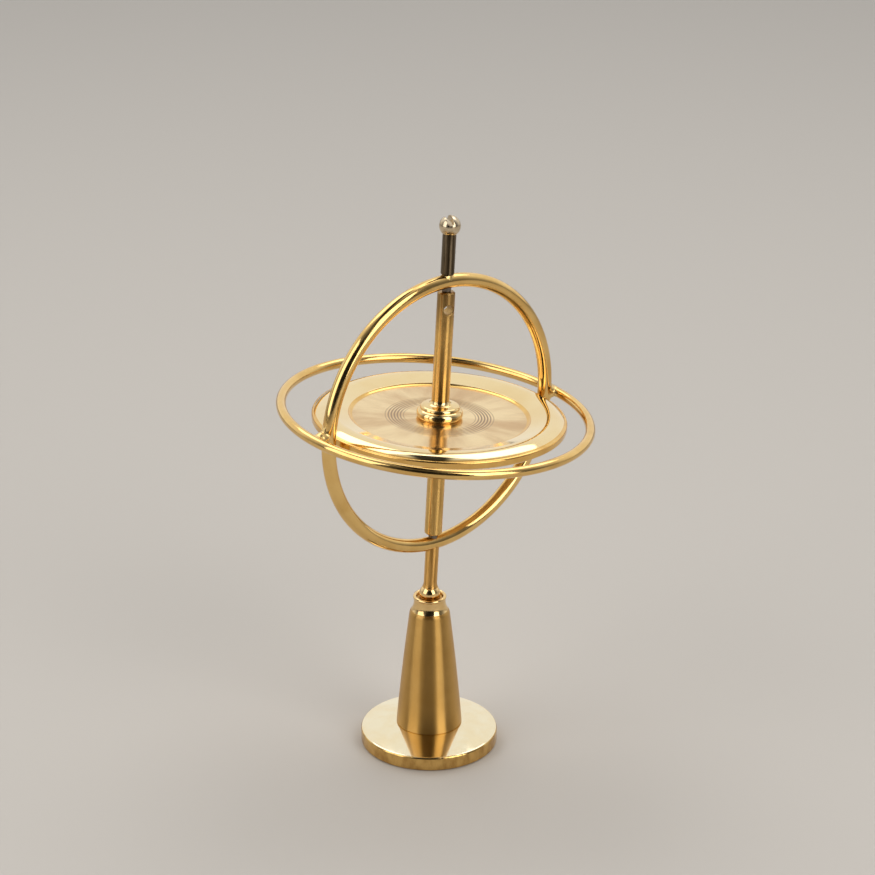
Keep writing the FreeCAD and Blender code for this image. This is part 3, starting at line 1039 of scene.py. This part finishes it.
def make_spindle():
    low_end = softened(outline(
        (0, -SPINDLE_HALF),
        (SPINDLE_RADIUS - SPINDLE_CHAMFER, -SPINDLE_HALF),
        (SPINDLE_RADIUS, -SPINDLE_HALF + SPINDLE_CHAMFER),
        (SPINDLE_RADIUS, STRING_HOLE_RISE - DRILLED_HALF),
    ), 0.08)
    high_end = softened(outline(
        (SPINDLE_RADIUS, STRING_HOLE_RISE + DRILLED_HALF),
        (SPINDLE_RADIUS, SPINDLE_HALF - SPINDLE_CHAMFER),
        (SPINDLE_RADIUS - SPINDLE_CHAMFER, SPINDLE_HALF),
        (0, SPINDLE_HALF),
    ), 0.08)
    straight = Matrix.Rotation(STRING_HOLE_TURN, 4, "Z")
    work = bmesh.new()
    for points in (low_end, high_end):
        work.from_mesh(turned("end", points, straight, sides=SPINDLE_SIDES))
    mouths = [hole_patch(work, STRING_HOLE_TURN + turn) for turn in (0, math.pi)]
    for one, other in zip(mouths[0], mouths[0][1:] + mouths[0][:1]):
        far = [min(mouths[1], key=lambda v: hole_gap(v, corner)) for corner in (one, other)]
        work.faces.new((one, other, far[1], far[0]))
    bmesh.ops.remove_doubles(work, verts=work.verts, dist=1e-4)
    bmesh.ops.recalc_face_normals(work, faces=work.faces)
    mesh = mesh_of(work, "drilled_spindle")
    unrolled(mesh)
    mesh.transform(IN_CAGE)
    mesh.shade_smooth()
    mesh.set_sharp_from_angle(angle=math.radians(32))
    piece("drilled_spindle", mesh, "rotor", "spindle_gold", [spindle_gold()], "spindle")


def dress_hidden_steel():
    """The nodes that stay as they are: the stud in the base, and the bushes in the spindle."""
    steel = ground_steel()
    for node in ("base_stud", "upper_bearing_bush", "lower_bearing_bush"):
        frame["nodes"][node].data.materials.clear()
        frame["nodes"][node].data.materials.append(steel)


# ---- camera, floor and light ---------------------------------------------------------------------------

# Turns are in radians, distances in metres, and the lens in millimetres.

VIEW_TURN = 0.6872
VIEW_DISTANCE = 0.536529
VIEW_HEIGHT = 0.297431
VIEW_PITCH = 0.40546
VIEW_ROLL = 0.00679
VIEW_YAW = 0.00249
FOCAL = 122.22


def make_camera():
    """The camera stands in front of the base, turned about it from the cage's plane."""
    data = bpy.data.cameras.new("camera")
    data.lens = FOCAL
    data.sensor_width = 36
    data.clip_start = 0.01
    data.clip_end = 20
    camera = linked("camera", data)
    turn = Matrix.Rotation(-VIEW_TURN, 4, "Z")
    stand = Matrix.Translation((0, -VIEW_DISTANCE, VIEW_HEIGHT))
    level = Matrix.Rotation(math.radians(90), 4, "X")
    aim = Matrix.Rotation(-VIEW_YAW, 4, "Z") @ level @ Matrix.Rotation(-VIEW_PITCH, 4, "X")
    camera.matrix_world = turn @ stand @ aim @ Matrix.Rotation(VIEW_ROLL, 4, "Z")
    bpy.context.scene.camera = camera


def make_floor():
    work = bmesh.new()
    bmesh.ops.create_grid(work, x_segments=1, y_segments=1, size=4)
    floor = linked("floor", mesh_of(work, "floor"))
    material = bpy.data.materials.new("pale_floor")
    material.use_nodes = True
    shader = material.node_tree.nodes["Principled BSDF"]
    shader.inputs["Base Color"].default_value = (0.54, 0.50, 0.45, 1)
    shader.inputs["Roughness"].default_value = 0.7
    floor.data.materials.append(material)


def toward_camera_side(azimuth, elevation):
    """A unit vector, with azimuth counted from the camera's side to its right."""
    a, e = math.radians(azimuth), math.radians(elevation)
    flat = Vector((math.sin(a) * math.cos(e), -math.cos(a) * math.cos(e), math.sin(e)))
    return Matrix.Rotation(-VIEW_TURN, 3, "Z") @ flat


def make_lamp(name, azimuth, elevation, distance, size, radiance):
    """A soft box that faces the gyroscope, of a given width and height in metres."""
    data = bpy.data.lights.new(name, "AREA")
    data.shape = "RECTANGLE"
    data.size, data.size_y = size
    data.energy = radiance * math.pi * size[0] * size[1]
    lamp = linked(name, data)
    way = toward_camera_side(azimuth, elevation)
    lamp.location = Vector((0, 0, 0.06)) + way * distance
    lamp.rotation_euler = way.to_track_quat("Z", "Y").to_euler()
    lamp.visible_camera = False


def make_lamps():
    """Two tall boxes to the sides of the camera, and two small ones high up behind."""
    make_lamp("left_box", -60, 28, 0.8, (0.58, 0.78), 1.75)
    make_lamp("right_box", 45, 28, 0.8, (0.44, 0.78), 2.65)
    make_lamp("upper_left_box", -142, 57, 0.65, (0.35, 0.42), 1.6)
    make_lamp("upper_right_box", 142, 57, 0.65, (0.35, 0.42), 1.6)


def make_world():
    """A pale wall behind, a dim room on the camera's side, and a dark strip overhead between them."""
    world = bpy.data.worlds.new("studio")
    bpy.context.scene.world = world
    world.use_nodes = True
    tree = world.node_tree
    nodes, link = tree.nodes, tree.links.new
    sky = nodes["Background"]
    way = nodes.new("ShaderNodeTexCoord").outputs["Generated"]

    def facing(direction, from_low, from_high, low, high):
        """A value that goes from low to high as the view turns towards a direction."""
        dot = nodes.new("ShaderNodeVectorMath")
        dot.operation = "DOT_PRODUCT"
        dot.inputs[1].default_value = direction
        link(way, dot.inputs[0])
        ramp = nodes.new("ShaderNodeMapRange")
        ramp.interpolation_type = "SMOOTHSTEP"
        for socket, number in zip(list(ramp.inputs)[1:5], (from_low, from_high, low, high)):
            socket.default_value = number
        link(dot.outputs["Value"], ramp.inputs["Value"])
        return ramp.outputs["Result"]

    def combined(operation, one, two):
        made = nodes.new("ShaderNodeMath")
        made.operation = operation
        link(one, made.inputs[0])
        link(two, made.inputs[1])
        return made.outputs[0]

    wall = facing(toward_camera_side(180, 15), -0.2, 0.6, 0.16, 0.95)
    viewer = facing(toward_camera_side(2, 22), 0.80, 0.94, 1.0, 0.1)
    sides = [facing(toward_camera_side(turn, 0), 0.09, 0.19, 0.0, 1.0) for turn in (-90, 90)]
    ceiling = facing(Vector((0, 0, 1)), 0.83, 0.93, 1.0, 0.05)
    ceiling = combined("MAXIMUM", ceiling, combined("MAXIMUM", *sides))
    link(combined("MULTIPLY", combined("MULTIPLY", wall, viewer), ceiling), sky.inputs["Strength"])
    sky.inputs["Color"].default_value = (0.98, 0.99, 1.0, 1)


def main():
    bpy.context.scene.view_settings.view_transform = "Standard"
    make_camera()
    make_disc()
    make_cone()
    make_cup()
    make_dish()
    make_foot_ball()
    make_lower_stem()
    make_hoops()
    make_hoop_braze()
    make_stem_braze()
    make_upper_stem()
    make_knob()
    make_pivots()
    make_flywheel()
    make_hubs()
    make_spindle()
    dress_hidden_steel()
    make_floor()
    make_world()
    make_lamps()


main()
